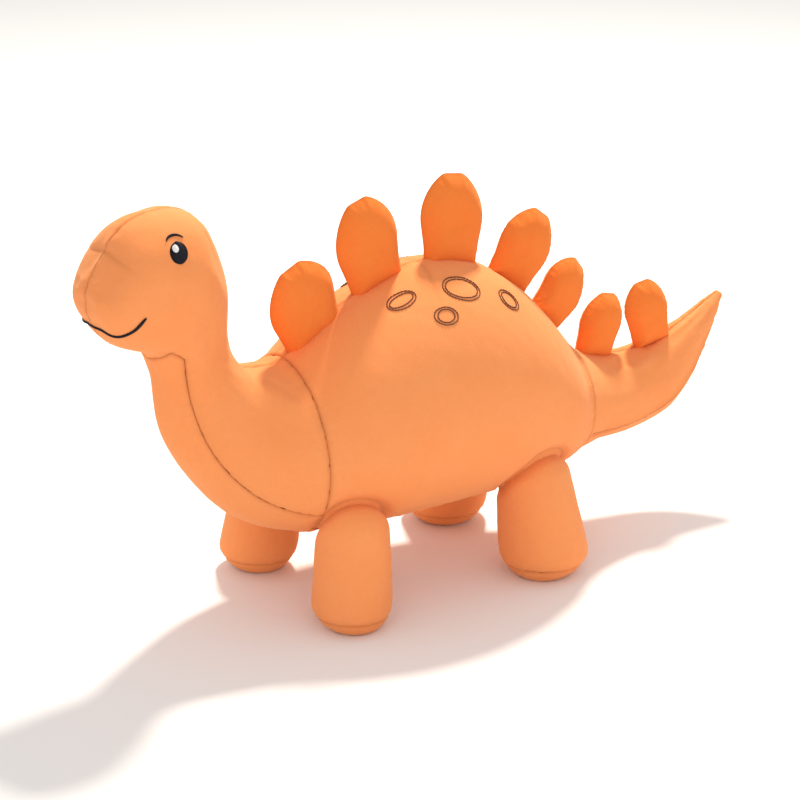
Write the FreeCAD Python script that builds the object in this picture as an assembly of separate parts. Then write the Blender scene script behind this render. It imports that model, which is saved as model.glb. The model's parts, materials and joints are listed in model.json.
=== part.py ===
"""Stuffed dinosaur: sewn panels, stuffing and embroidery as separate solids.

Millimetres, +Z up. The nose points along -Y and the tail along +Y. The origin is on the surface that
the toy stands on, under the middle of its length. The body is one smooth skin from snout to tail tip.
Ball and socket faces divide it into head, torso and tail where a sewn seam flexes on the real toy.
"""
import FreeCAD, Part
import math
import os

V = FreeCAD.Vector

# Driving dimensions
TORSO_LENGTH = 192.0     # neck seam to tail seam
TORSO_WIDTH = 134.0      # across the widest part of the belly
TORSO_HEIGHT = 141.0     # belly to the top of the back
BELLY_CLEARANCE = 40.0   # floor to belly
NECK_SEAM_Y = -96.0      # place of the neck seam along the toy
HEAD_WIDTH = 70.0        # across the cheeks
TAIL_WIDTH = 64.0        # across the root of the tail
FABRIC = 1.5             # pile fabric with its backing
THREAD = 0.9             # height of the embroidery
CLEARANCE = 0.4          # gap between pieces on different bodies
THROAT_SHARE = 0.22      # height of the throat panel's edge as a share of the neck's height
BELLY_SHARE = 0.07       # the same for the belly panel
TAIL_SHARE = 0.28        # the same for the panel under the tail

LEG_TOP_RADIUS = 19.0    # dome sewn into the torso
FRONT_FOOT_RADIUS = 22.0
REAR_FOOT_RADIUS = 24.5
SOLE_HEIGHT = 7.5        # sole seam above the floor
LEG_SWING = 15.0         # degrees each way
HEAD_NOD = 10.0          # degrees each way

TONGUE_HALF = 1.5        # half thickness of a plate's seam allowance
BEAD_RADIUS = 2.6        # rolled edge of the seam allowance
TONGUE_HEIGHT = 4.5      # from the hinge line to the leaf
LEAF_FOOT_HALF = 3.4     # half thickness of the leaf where it meets its tongue
LEAF_HALF = 8.5          # half thickness of the leaf where it is fullest

EYE_PLACE = (-171.5, 217.5)     # (y, z) on each side of the head
EYE_HALF = (5.0, 5.7)           # half length and half height
GLINT_PLACE = (-1.6, 2.4)       # highlight from the eye's middle, back and up
GLINT_RADIUS = 1.6
BROW_RISE = 4.9                 # middle of the brow's arc above the eye's middle
BROW_RADIUS = 5.2
BROW_SPREAD = 62.0              # degrees each side of straight up
BROW_WIDTH = 1.3
MOUTH_WIDTH = 2.0
SPOT_BAND = 2.6          # width of a spot's double outline

# Torso sections: share of the length, then low and high edge as shares of the height, share of the width
TORSO_SECTIONS = (
    (0.00, 0.014, 0.716, 0.716, -0.08),
    (0.09, 0.007, 0.801, 0.836, -0.10),
    (0.25, 0.000, 0.922, 0.955, -0.12),
    (0.43, 0.000, 1.000, 1.000, -0.12),
    (0.60, 0.000, 0.979, 0.970, -0.12),
    (0.77, 0.014, 0.851, 0.851, -0.10),
    (0.90, 0.036, 0.667, 0.672, -0.08),
)
# Neck and head sections, forward of the neck seam: low point (y, z), high point (y, z), share of head width
HEAD_SECTIONS = (
    (-28, 52, -13, 139, 1.23, -0.05),
    (-53, 74, -23, 140, 1.00, 0.0),
    (-69, 99, -29, 144, 0.77, 0.0),
    (-77, 126, -34, 153, 0.66, 0.0),
    (-79, 147, -35, 166, 0.67, 0.0),
    (-82, 156, -35, 187, 0.80, 0.0),
    (-86, 160, -41, 210, 0.94, 0.0),
    (-91, 162, -54, 229, 1.00, 0.0),
    (-97, 164, -75, 234, 0.97, 0.0),
    (-103, 167, -93, 228, 0.89, 0.0),
    (-109, 173, -106, 214, 0.74, 0.0),
    (-113, 180, -113, 202, 0.51, 0.0),
    (-115, 186, -115.5, 195, 0.26, 0.0),
)
# Tail sections, behind the tail seam: low point (y, z), high point (y, z), share of tail width
TAIL_SECTIONS = (
    (-2, 49, 2, 109, 1.00),
    (22, 50, 22, 103, 0.88),
    (49, 52, 43, 101, 0.75),
    (74, 62, 59, 102, 0.62),
    (90, 77, 72, 107, 0.48),
    (102, 96, 88, 114, 0.33),
    (111, 114, 104, 122, 0.16),
    (114, 120, 111, 125, 0.08),
)
# Plates on the torso: hinge front (share of the length, depth below the ridge line), hinge rear (the same),
# leaf tip from the middle of the hinge (back, up), leaf width
TORSO_PLATES = (
    (0.01042, 0.037, 0.18229, 3.338, -13.5, 38.5, 43),
    (0.22396, -0.219, 0.39062, -0.088, -12, 46.5, 40),
    (0.47396, 0.144, 0.65625, -3.486, 0.5, 48.5, 42),
    (0.70833, -4.015, 0.83854, -5.727, 22.5, 33.5, 38),
    (0.86979, -3.964, 0.95312, -0.589, 23, 27.5, 32),
)
# Plates on the tail: the same, with places in mm behind the tail seam
TAIL_PLATES = (
    (5, -0.900, 30, -0.762, 10.5, 32, 30),
    (47, -2.750, 73, -0.562, -9, 35, 31),
)
# Legs: hip (share of the half width, share of the length, height above the belly), foot from the hip (x, y),
# foot radius; the right leg is the mirror image
LEGS = {
    "front": (0.71642, 0.08333, 12, 2, -6, FRONT_FOOT_RADIUS),
    "rear": (0.65672, 0.71875, 14, 7, 2, REAR_FOOT_RADIUS),
}
# Spots: place (share of the length, share of the height), half length, half height, tilt in degrees
SPOTS = (
    (0.49479, 0.92199, 11.5, 8.6, -14),
    (0.31250, 0.90071, 9.2, 5.6, 6),
    (0.40104, 0.85106, 7.0, 5.8, -5),
    (0.64583, 0.84397, 6.2, 7.6, 30),
)
# Smile, from in front of the snout to the corner of the mouth: (y, z)
MOUTH_LINE = ((-216, 178), (-206, 177), (-201, 178), (-196.5, 181), (-192.5, 187))
THROAT = 8               # section where the underside panel begins, counted from the snout
TAIL_SEAM_Y = NECK_SEAM_Y + TORSO_LENGTH
SPAN = 400.0             # larger than the toy, for cutting tools


def torso_stations():
    """Sections of the torso as (low y, low z, high y, high z, half width, egg shape)."""
    rows = []
    for along, low, high, width, egg in TORSO_SECTIONS:
        y = NECK_SEAM_Y + along * TORSO_LENGTH
        floor = BELLY_CLEARANCE
        rows.append((y, floor + low * TORSO_HEIGHT, y - 1, floor + high * TORSO_HEIGHT,
                     width * TORSO_WIDTH / 2, egg))
    return rows


def body_stations():
    """Sections of the whole skin from snout to tail tip."""
    head = [(NECK_SEAM_Y + a, b, NECK_SEAM_Y + c, d, share * HEAD_WIDTH / 2, egg)
            for a, b, c, d, share, egg in reversed(HEAD_SECTIONS)]
    tail = [(TAIL_SEAM_Y + a, b, TAIL_SEAM_Y + c, d, share * TAIL_WIDTH / 2, 0.0)
            for a, b, c, d, share in TAIL_SECTIONS]
    return head + torso_stations() + tail


def inset(stations, depth):
    """The same sections moved inward by depth, square to the skin."""
    mids = [V(0, (s[0] + s[2]) / 2, (s[1] + s[3]) / 2) for s in stations]
    radii = [(math.hypot(s[2] - s[0], s[3] - s[1]) / 2 + s[4]) / 2 for s in stations]
    rows = []
    last = len(stations) - 1
    for i, (ly, lz, hy, hz, half, egg) in enumerate(stations):
        before = max(i - 1, 0)
        after = min(i + 1, last)
        along = mids[after].sub(mids[before])
        slope = math.atan2(radii[after] - radii[before], along.Length)
        along.normalize()
        shift = along * (depth * math.sin(slope))
        shrink = depth * math.cos(slope)
        up = V(0, hy - ly, hz - lz)
        up.normalize()
        low = V(0, ly, lz) + shift + up * shrink
        high = V(0, hy, hz) + shift - up * shrink
        rows.append((low.y, low.z, high.y, high.z, half - shrink, egg))
    return rows


def section(station, points=16, start=0.1):
    """A closed ring: round in X, between the low and the high point, fuller below if egg < 0."""
    ly, lz, hy, hz, half, egg = station
    ring = []
    for i in range(points + 1):
        turn = start + 2 * math.pi * (i % points) / points
        rise = -math.cos(turn)
        wide = half * math.sin(turn) * (1 + egg * rise)
        ring.append(V(wide, (ly + hy) / 2 + rise * (hy - ly) / 2, (lz + hz) / 2 + rise * (hz - lz) / 2))
    return ring


def skin(stations):
    """One smooth surface through all the rings, closed by a small flat face at each end."""
    surface = Part.BSplineSurface()
    surface.interpolate([section(s) for s in stations])
    first, last = surface.bounds()[:2]
    ends = [Part.Face(Part.Wire([surface.uIso(u).toShape()])) for u in (first, last)]
    shell = Part.makeShell([surface.toShape()] + ends)
    shell.sewShape()
    solid = Part.makeSolid(shell)
    if solid.Volume < 0:
        solid.reverse()
    return solid


def slab(low, high):
    """A box between two corners."""
    return Part.makeBox(high[0] - low[0], high[1] - low[1], high[2] - low[2], V(*low))


def half_space(side):
    """Everything on the toy's left (side 1) or right (side -1)."""
    return slab((min(0, side) * SPAN, -SPAN, -SPAN), (max(0, side) * SPAN, SPAN, SPAN))


def prism(outline, low_x=-SPAN, high_x=SPAN):
    """A closed outline of (y, z) points carried along X."""
    points = [V(low_x, y, z) for y, z in outline]
    face = Part.Face(Part.makePolygon(points + points[:1]))
    return face.extrude(V(high_x - low_x, 0, 0))


def under_prism(stations, share):
    """Space below the side seams, which run at a fixed share of the body's height."""
    seam = [(ly + share * (hy - ly), lz + share * (hz - lz)) for ly, lz, hy, hz, half, egg in stations]
    first = stations[0]
    last = stations[-1]
    # The panel ends under the chin and runs on past the tail tip.
    below = [(last[0] + 30, last[1] + 3), (last[0] + 30, -20), (first[0] - 30, -20), (first[0] - 30, first[1])]
    return prism(seam + below)


def ball(centre, radius):
    return Part.makeSphere(radius, V(*centre))


def one_solid(shape):
    """The largest solid of a cut, without the crumbs that a tangent cut can leave."""
    solids = sorted(shape.Solids, key=lambda s: s.Volume)
    return solids[-1]


def export(name, shape):
    shape.exportStep("parts/" + name + ".step")
    print(name, len(shape.Solids), round(shape.Volume), shape.isValid())


def turned(shape, centre, degrees):
    """A copy turned about an X axis through centre."""
    copy = shape.copy()
    copy.rotate(V(*centre), V(1, 0, 0), degrees)
    return copy


def ridge_height(y):
    """Height of the straight lines between the sections' high points."""
    for before, after in zip(STATIONS, STATIONS[1:]):
        if before[2] <= y <= after[2]:
            return before[3] + (after[3] - before[3]) * (y - before[2]) / (after[2] - before[2])


def placed_plates():
    """Plates as (front y, z, rear y, z, tip y, z, width), held at their depth below the ridge."""
    rows = [(NECK_SEAM_Y + p[0] * TORSO_LENGTH, NECK_SEAM_Y + p[2] * TORSO_LENGTH, p) for p in TORSO_PLATES]
    rows += [(TAIL_SEAM_Y + p[0], TAIL_SEAM_Y + p[2], p) for p in TAIL_PLATES]
    plates = []
    for front, rear, (_, front_depth, _, rear_depth, back, up, width) in rows:
        front_z = ridge_height(front) - front_depth
        rear_z = ridge_height(rear) - rear_depth
        tip = ((front + rear) / 2 + back, (front_z + rear_z) / 2 + up)
        plates.append((front, front_z, rear, rear_z, *tip, width))
    return plates


STATIONS = body_stations()
PLATES = placed_plates()
NECK_RING = torso_stations()[0]
TAIL_RING = STATIONS[len(HEAD_SECTIONS) + len(TORSO_SECTIONS)]

# Ball and socket at each flexing seam. The neck's centre is forward of its seam, so the socket keeps a lip.
NECK_PIVOT = (0, NECK_SEAM_Y - 13, (NECK_RING[1] + NECK_RING[3]) / 2 - 2)
NECK_BALL = math.hypot(13, (NECK_RING[3] - NECK_RING[1]) / 2 + 1.5)
TAIL_PIVOT = (0, TAIL_SEAM_Y + 1, (TAIL_RING[1] + TAIL_RING[3]) / 2)
TAIL_BALL = TAIL_WIDTH / 2 + 0.5


def leg_sides():
    """Yield the name, side and dimensions of the four legs."""
    for end, (wide, along, rise, out, back, radius) in LEGS.items():
        x = wide * TORSO_WIDTH / 2
        y = NECK_SEAM_Y + along * TORSO_LENGTH
        for side, word in ((1, "left"), (-1, "right")):
            hip = (side * x, y, BELLY_CLEARANCE + rise)
            yield "leg_" + end + "_" + word, hip, (side * (x + out), y + back), radius


def leg_profile(hip, foot):
    """The hip, the direction from hip to foot, its length, and a function that gives a point beside that
    line from its distance out and its distance along."""
    top = V(*hip)
    down = V(foot[0], foot[1], 0) - top
    length = down.Length
    down.normalize()
    across = V(0, 1, 0) - down * down.y
    across.normalize()
    return top, down, length, lambda wide, along: top + across * wide + down * along


def turned_solid(edges, centre, axis):
    """The solid swept by a closed outline turned all the way about an axis."""
    return Part.Face(Part.Wire([edge.toShape() for edge in edges])).revolve(centre, axis, 360)


def leg_tube(hip, foot, radius, depth):
    """A domed, tapered tube with a rounded end, moved inward by depth, then cut flat for standing."""
    top, down, length, at = leg_profile(hip, foot)
    dome = LEG_TOP_RADIUS - depth
    full = radius - depth
    turn_in = length - 0.45 * radius
    end = length + 0.1 * radius - depth
    edges = [
        Part.Arc(at(0, -dome), at(dome * math.sin(math.pi / 4), -dome * math.cos(math.pi / 4)), at(dome, 0)),
        Part.LineSegment(at(dome, 0), at(full, turn_in)),
        Part.Arc(at(full, turn_in), at(0.83 * full, turn_in + 0.66 * (end - turn_in)), at(0.35 * full, end)),
        Part.LineSegment(at(0.35 * full, end), at(0, end)),
        Part.LineSegment(at(0, end), at(0, -dome)),
    ]
    return turned_solid(edges, top, down).cut(slab((-SPAN, -SPAN, -SPAN), (SPAN, SPAN, depth)))


def leg_well(hip, foot, radius):
    """The space a leg needs as it swings: a dome, then a cone that clears its flaring side."""
    top, down, length, at = leg_profile(hip, foot)
    swing = math.radians(LEG_SWING)
    flare = max(math.atan2(radius - LEG_TOP_RADIUS, length - 0.45 * radius), 0)
    room = LEG_TOP_RADIUS + CLEARANCE
    middle = (math.pi / 2 + swing) / 2
    low = room * math.cos(swing) + (length + room * math.sin(swing)) * math.tan(swing + flare)
    edges = [
        Part.Arc(at(0, -room), at(room * math.cos(middle), -room * math.sin(middle)),
                 at(room * math.cos(swing), -room * math.sin(swing))),
        Part.LineSegment(at(room * math.cos(swing), -room * math.sin(swing)), at(low, length)),
        Part.LineSegment(at(low, length), at(0, length)),
        Part.LineSegment(at(0, length), at(0, -room)),
    ]
    return turned_solid(edges, top, down)


def make_legs():
    wells = []
    for name, hip, foot, radius in leg_sides():
        outer = leg_tube(hip, foot, radius, 0)
        inner = leg_tube(hip, foot, radius, FABRIC)
        cover = outer.cut(inner)
        sole_box = slab((-SPAN, -SPAN, -SPAN), (SPAN, SPAN, SOLE_HEIGHT))
        export(name + "_tube", one_solid(cover.cut(sole_box)))
        export(name + "_sole", one_solid(cover.common(sole_box)))
        export(name + "_stuffing", one_solid(inner))
        wells.append(leg_well(hip, foot, radius))
    return wells


def leaf_frame(plate):
    """Hinge middle, unit vectors along the hinge and up the leaf, hinge length and leaf height."""
    fy, fz, ry, rz, ty, tz, width = plate
    middle = V(0, (fy + ry) / 2, (fz + rz) / 2)
    along = V(0, ry - fy, rz - fz)
    length = along.Length
    along.normalize()
    up = V(0, ty, tz) - middle
    height = up.Length
    up.normalize()
    return middle, along, up, length, height


def leaf_section(middle, along, up, rise, half_along, half_thick):
    """An ellipse across the leaf at a height above the hinge line."""
    centre = middle + up * rise
    points = []
    for i in range(12):
        turn = 0.1 + 2 * math.pi * i / 12
        points.append(centre + along * (half_along * math.cos(turn)) + V(half_thick * math.sin(turn), 0, 0))
    curve = Part.BSplineCurve()
    curve.interpolate(Points=points, PeriodicFlag=True)
    return Part.Wire([curve.toShape()])


def leaf(plate, depth):
    """A puffy leaf: widest at 45% of its height, then rounding over to the tip."""
    middle, along, up, length, height = leaf_frame(plate)
    full = plate[6] / 2
    foot = length / 2 - 1
    wires = []
    for share in (0.0, 0.12, 0.28, 0.46, 0.62, 0.78, 0.9, 0.97):
        if share < 0.46:
            wide = foot + (full - foot) * math.sin(math.pi / 2 * share / 0.46)
        else:
            wide = full * math.sqrt(1 - ((share - 0.46) / 0.54) ** 2.0)
        thick = LEAF_FOOT_HALF + (LEAF_HALF - LEAF_FOOT_HALF) * math.sin(math.pi * min(share / 0.8, 1) ** 0.8)
        thick = min(thick, 0.75 * wide)
        rise = TONGUE_HEIGHT + share * (height - TONGUE_HEIGHT)
        rise = min(max(rise, TONGUE_HEIGHT + depth), height - 2 * depth)
        wires.append(leaf_section(middle, along, up, rise, wide - depth, thick - depth))
    return Part.makeLoft(wires, True, False)


def hinge_strip(plate, half, low, high, long):
    """A flat strip along the hinge line, between two heights above it."""
    middle, along, up, length, leaf_height = leaf_frame(plate)
    square = up - along * up.dot(along)
    square.normalize()
    start = middle - along * (long / 2) + square * low
    corners = [start + V(-half, 0, 0), start + V(half, 0, 0)]
    corners += [c + square * (high - low) for c in reversed(corners)]
    return Part.Face(Part.makePolygon(corners + corners[:1])).extrude(along * long)


def tongue(plate):
    """The seam allowance: a flat strip standing on a rolled bead."""
    middle, along, up, length, leaf_height = leaf_frame(plate)
    long = length - 2
    bead = Part.makeCylinder(BEAD_RADIUS, long, middle - along * (long / 2), along)
    return bead.fuse(hinge_strip(plate, TONGUE_HALF, 0, TONGUE_HEIGHT + 1, long))


def groove(plate):
    """The slot that the bead turns in, open at the top for the tongue's swing."""
    length = leaf_frame(plate)[3]
    room = BEAD_RADIUS + CLEARANCE
    return hinge_strip(plate, room, -room, 3 * TONGUE_HEIGHT, length - 2 + 4 * CLEARANCE)


def make_plates():
    grooves = []
    for number, plate in enumerate(PLATES, 1):
        outer = leaf(plate, 0)
        inner = leaf(plate, FABRIC)
        cover = outer.cut(inner).fuse(tongue(plate).cut(inner))
        for side, word in ((1, "left"), (-1, "right")):
            export("plate_%d_%s_panel" % (number, word), one_solid(cover.common(half_space(side))))
        export("plate_%d_stuffing" % number, one_solid(inner))
        grooves.append(groove(plate))
    return grooves


def make_body(wells, grooves):
    """Cut the whole skin into head, torso and tail and divide each into its panels and stuffing."""
    outer = skin(STATIONS)
    inner = skin(inset(STATIONS, FABRIC))
    front = slab((-SPAN, -SPAN, -SPAN), (SPAN, NECK_PIVOT[1], SPAN))
    back = slab((-SPAN, TAIL_PIVOT[1], -SPAN), (SPAN, SPAN, SPAN))
    head_room = ball(NECK_PIVOT, NECK_BALL).fuse(front)
    head_zone = ball(NECK_PIVOT, NECK_BALL - CLEARANCE).fuse(front)
    tail_room = ball(TAIL_PIVOT, TAIL_BALL).fuse(back)
    tail_zone = ball(TAIL_PIVOT, TAIL_BALL - CLEARANCE).fuse(back)
    for name, hip, foot, radius in leg_sides():
        if "front" in name:
            for share in (-1, -0.5, 0, 0.5, 1):
                hollow = ball(hip, LEG_TOP_RADIUS + CLEARANCE)
                head_zone = head_zone.cut(turned(hollow, NECK_PIVOT, share * HEAD_NOD))
    zones = (
        ("head", lambda s: s.common(head_zone), "throat_panel", THROAT_SHARE, []),
        ("torso", lambda s: s.cut(head_room).cut(tail_room), "belly_panel", BELLY_SHARE,
         wells + grooves[:len(TORSO_PLATES)]),
        ("tail", lambda s: s.common(tail_zone), "tail_under_panel", TAIL_SHARE, grooves[len(TORSO_PLATES):]),
    )
    for name, part_of, under_name, share, cutters in zones:
        under = under_prism(STATIONS[THROAT:], share)
        whole = part_of(outer)
        core = part_of(inner)
        if cutters:
            whole = whole.cut(cutters)
            core = core.cut(cutters)
        cover = whole.cut(inner)
        upper = cover.cut(under)
        for side, word in ((1, "left"), (-1, "right")):
            export("%s_%s_panel" % (name, word), one_solid(upper.common(half_space(side))))
        export(under_name, one_solid(cover.common(under)))
        export(name + "_stuffing", one_solid(core))
    return outer


def place_on_skin(outer, side, y, z):
    """Point, outward normal, backward and upward directions on the skin at a (y, z) place on one side."""
    ray = Part.makeLine(V(0, y, z), V(side * SPAN, y, z)).common(outer)
    point = max((vertex.Point for vertex in ray.Vertexes), key=lambda p: side * p.x)
    face = outer.Faces[0]
    normal = face.normalAt(*face.Surface.parameter(point))
    if normal.x * side < 0:
        normal = normal * -1
    back = V(0, 1, 0) - normal * normal.y
    back.normalize()
    up = normal.cross(back) * -side
    if up.z < 0:
        up = up * -1
    return point, normal, back, up


def patch(place, outline, smooth=True):
    """A closed outline of (back, up) points laid on the skin and carried through it."""
    point, normal, back, up = place
    ring = [point - normal * 8 + back * u + up * w for u, w in outline]
    if smooth:
        curve = Part.BSplineCurve()
        curve.interpolate(Points=ring, PeriodicFlag=True)
        wire = Part.Wire([curve.toShape()])
    else:
        wire = Part.makePolygon(ring + ring[:1])
    return Part.Face(wire).extrude(normal * 16)


def oval(half_length, half_height, tilt=0.0, centre=(0, 0), points=16):
    """An oval outline, tilted up towards the tail."""
    lean = math.radians(tilt)
    outline = []
    for i in range(points):
        turn = 2 * math.pi * i / points
        u = half_length * math.cos(turn)
        w = half_height * math.sin(turn)
        outline.append((centre[0] + u * math.cos(lean) - w * math.sin(lean),
                        centre[1] + u * math.sin(lean) + w * math.cos(lean)))
    return outline


def brow_outline(steps=8):
    """A thin arch above the eye."""
    outline = []
    for radius, order in ((BROW_RADIUS + BROW_WIDTH / 2, 1), (BROW_RADIUS - BROW_WIDTH / 2, -1)):
        for i in range(steps + 1):
            turn = math.radians(order * BROW_SPREAD * (2 * i / steps - 1))
            outline.append((radius * math.sin(turn), BROW_RISE + radius * math.cos(turn)))
    return outline


def mouth_prism(steps=15):
    """The smile, a strip of constant width carried across the snout."""
    curve = Part.BSplineCurve()
    curve.interpolate(Points=[V(0, y, z) for y, z in MOUTH_LINE])
    line = curve.discretize(Number=steps)
    upper = []
    lower = []
    for i, p in enumerate(line):
        way = line[min(i + 1, steps - 1)] - line[max(i - 1, 0)]
        way.normalize()
        side = V(0, -way.z, way.y) * (MOUTH_WIDTH / 2)
        upper.append(((p + side).y, (p + side).z))
        lower.append(((p - side).y, (p - side).z))
    return prism(upper + lower[::-1])


def make_embroidery(outer):
    """Satin stitch and outline stitch standing on the skin."""
    layer = skin(inset(STATIONS, -THREAD)).cut(outer)
    glints = []
    for side, word in ((1, "left"), (-1, "right")):
        eye = place_on_skin(outer, side, *EYE_PLACE)
        glint = patch(eye, oval(GLINT_RADIUS, GLINT_RADIUS, centre=GLINT_PLACE))
        pupil = patch(eye, oval(*EYE_HALF))
        export("eye_" + word, one_solid(layer.common(pupil.cut(glint))))
        glints.append(one_solid(layer.common(glint)))
        export("brow_" + word, one_solid(layer.common(patch(eye, brow_outline(), False))))
        rings = []
        for along, rise, long, tall, tilt in SPOTS:
            y = NECK_SEAM_Y + along * TORSO_LENGTH
            spot = place_on_skin(outer, side, y, BELLY_CLEARANCE + rise * TORSO_HEIGHT)
            outside = patch(spot, oval(long + SPOT_BAND / 2, tall + SPOT_BAND / 2, tilt))
            inside = patch(spot, oval(long - SPOT_BAND / 2, tall - SPOT_BAND / 2, tilt))
            rings.append(one_solid(layer.common(outside.cut(inside))))
        export("spot_rings_" + word, Part.makeCompound(rings))
    export("eye_highlights", Part.makeCompound(glints))
    export("mouth", one_solid(layer.common(mouth_prism())))


os.makedirs("parts", exist_ok=True)
make_embroidery(make_body(make_legs(), make_plates()))
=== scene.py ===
"""Stuffed dinosaur: a velour skin of sewn panels over stuffing, leaf plates, and an embroidered face.

Metres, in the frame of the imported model: nose along -Y, the dinosaur's left along +X, floor at z = 0.
A Cover is a measured surface with rows along a limb and turns round it. Each sewn panel is a finer grid
laid on a Cover between its seams, where its edges roll inward and pucker.
"""
import json
import math

import bmesh
import bpy
import numpy as np
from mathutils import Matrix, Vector
from mathutils.bvhtree import BVHTree
from mathutils.geometry import convex_hull_2d

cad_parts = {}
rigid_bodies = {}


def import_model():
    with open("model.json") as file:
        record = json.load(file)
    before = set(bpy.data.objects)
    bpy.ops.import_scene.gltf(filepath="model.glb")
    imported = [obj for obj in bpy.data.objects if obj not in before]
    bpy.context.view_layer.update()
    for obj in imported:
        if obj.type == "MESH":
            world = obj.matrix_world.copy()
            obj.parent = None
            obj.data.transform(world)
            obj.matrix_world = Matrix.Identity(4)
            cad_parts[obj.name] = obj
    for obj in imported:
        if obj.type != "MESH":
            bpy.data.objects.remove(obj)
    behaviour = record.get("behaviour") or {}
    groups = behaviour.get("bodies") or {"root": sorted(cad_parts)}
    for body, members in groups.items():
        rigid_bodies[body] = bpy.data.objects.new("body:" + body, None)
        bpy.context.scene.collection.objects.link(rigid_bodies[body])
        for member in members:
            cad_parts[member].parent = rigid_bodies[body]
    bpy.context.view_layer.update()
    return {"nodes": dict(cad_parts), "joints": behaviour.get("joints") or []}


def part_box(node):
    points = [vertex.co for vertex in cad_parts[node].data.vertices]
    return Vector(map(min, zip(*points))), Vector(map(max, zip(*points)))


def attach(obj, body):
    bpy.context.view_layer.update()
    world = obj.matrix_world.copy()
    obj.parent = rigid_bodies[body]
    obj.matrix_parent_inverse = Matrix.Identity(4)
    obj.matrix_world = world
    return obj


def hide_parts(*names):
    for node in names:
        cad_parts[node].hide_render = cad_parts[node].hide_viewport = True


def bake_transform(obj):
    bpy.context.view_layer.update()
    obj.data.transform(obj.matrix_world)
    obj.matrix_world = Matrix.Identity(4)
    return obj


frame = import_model()

MM = 0.001
BODY_NODES = ("head_left_panel", "head_right_panel", "throat_panel", "torso_left_panel",
              "torso_right_panel", "belly_panel", "tail_left_panel", "tail_right_panel", "tail_under_panel")
LEGS = ("leg_front_left", "leg_front_right", "leg_rear_left", "leg_rear_right")
PLATES = tuple("plate_%d" % k for k in range(1, 8))
JOINTS = {j["child"]: j for j in frame["joints"]}

# The line through the middle of the body from head to tail: y, z in mm, and the lean of the
# cross-section in degrees
SPINE = (
    (-188, 194, 12), (-172, 196, 26), (-160, 187, 41), (-154.5, 172, 56), (-153, 157, 66), (-151, 140, 58),
    (-145, 122, 42), (-134, 107, 25), (-116, 96, 10), (-96.5, 91.5, 0), (-60, 101, 0), (-14, 110, 0),
    (30, 107, 0), (60, 97, 0), (80, 86.5, 1), (96, 79, 2), (120, 76, 0), (145, 77, -8), (163, 82, -20),
    (178, 92, -31), (191, 105, -38), (200, 114, -40),
)
STEPS = 8                # measured rows between two points of the spine
CAP_ROWS = 14            # measured rows that close each end
TURNS = 96               # measured points round the body
HIP_IN = 5 * MM          # how far a leg's top is drawn in under the body
SOLE_ROUND = 16 * MM     # height over which the foot rounds under
NECK_AT, TAIL_AT = 9.0, 14.55    # ring seams, in spine points
CHIN_AT, THROAT_AT = 3.15, 2.75   # top edge of the throat panel, at its middle and at its corners
THROAT_TOP = math.radians(40)     # half turn between those corners
THROAT_WIDENS = 0.75              # spine points below them where the panel has its full width
THROAT_HALF, BELLY_HALF, UNDERTAIL_HALF = (math.radians(v) for v in (55, 33, 62))   # half turn they cover
GRAIN = 1.25 * MM        # spacing of the finished meshes
HIP_POCKET = 25 * MM     # radius round a hip in which the measured skin is filled in
PLATES_FROM, PLATES_TO = -100 * MM, 175 * MM    # stretch of the back whose slots are filled in

SEAM_ROLL = 2.4 * MM     # width of the rolled edge beside a seam
SEAM_DEPTH = 1.2 * MM    # depth of that edge at the seam
SEAM_PULL = 0.6 * MM     # depth of the wider hollow along a seam


# ---------------------------------------------------------------- arrays

def unit(v):
    return v / np.maximum(np.linalg.norm(v, axis=-1, keepdims=True), 1e-12)


def curve_through(knots, values, at):
    """Cubic through the values at the knots, with slopes from neighbouring knots (Hermite form)."""
    knots = np.asarray(knots, float)
    values = np.asarray(values, float)
    slopes = np.gradient(values, knots, axis=0)
    k = np.clip(np.searchsorted(knots, at, side="right") - 1, 0, len(knots) - 2)
    width = (knots[k + 1] - knots[k])[:, None]
    t = ((at - knots[k]) / (knots[k + 1] - knots[k]))[:, None]
    return ((2 * t**3 - 3 * t**2 + 1) * values[k] + (t**3 - 2 * t**2 + t) * width * slopes[k]
            + (3 * t**2 - 2 * t**3) * values[k + 1] + (t**3 - t**2) * width * slopes[k + 1])


def ripple(points, waves, seed):
    """Smooth unevenness from -1 to 1: the mean of sine waves in random directions, one per wavelength."""
    rng = np.random.default_rng(seed)
    total = np.zeros(points.shape[:-1])
    for wave in waves:
        for _ in range(3):
            way = unit(rng.normal(size=3))
            total += np.sin(points @ way * (2 * math.pi / wave) + rng.uniform(0, 2 * math.pi))
    return total / (3 * len(waves))


def segment_distance(points, start, end):
    """Distance to a straight segment, and how far along it the nearest point lies, from 0 to 1."""
    start = np.asarray(start, float)
    way = np.asarray(end, float) - start
    along = np.clip(((points - start) @ way) / (way @ way), 0, 1)
    return np.linalg.norm(points - start - along[..., None] * way, axis=-1), along


def nearest_on(points, line):
    """Distance from each point to the nearest vertex of a line, and that vertex's length along the line."""
    run = np.r_[0, np.cumsum(np.linalg.norm(np.diff(line, axis=0), axis=1))]
    flat = points.reshape(-1, 3)
    best = np.empty(len(flat))
    where = np.empty(len(flat), int)
    for i in range(0, len(flat), 4000):
        block = flat[i:i + 4000]
        square = (block**2).sum(1)[:, None] + (line**2).sum(1)[None] - 2 * block @ line.T
        where[i:i + 4000] = square.argmin(1)
        best[i:i + 4000] = square.min(1)
    shape = points.shape[:-1]
    return np.sqrt(np.maximum(best, 0)).reshape(shape), run[where].reshape(shape)


# ---------------------------------------------------------------- covers

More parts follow.
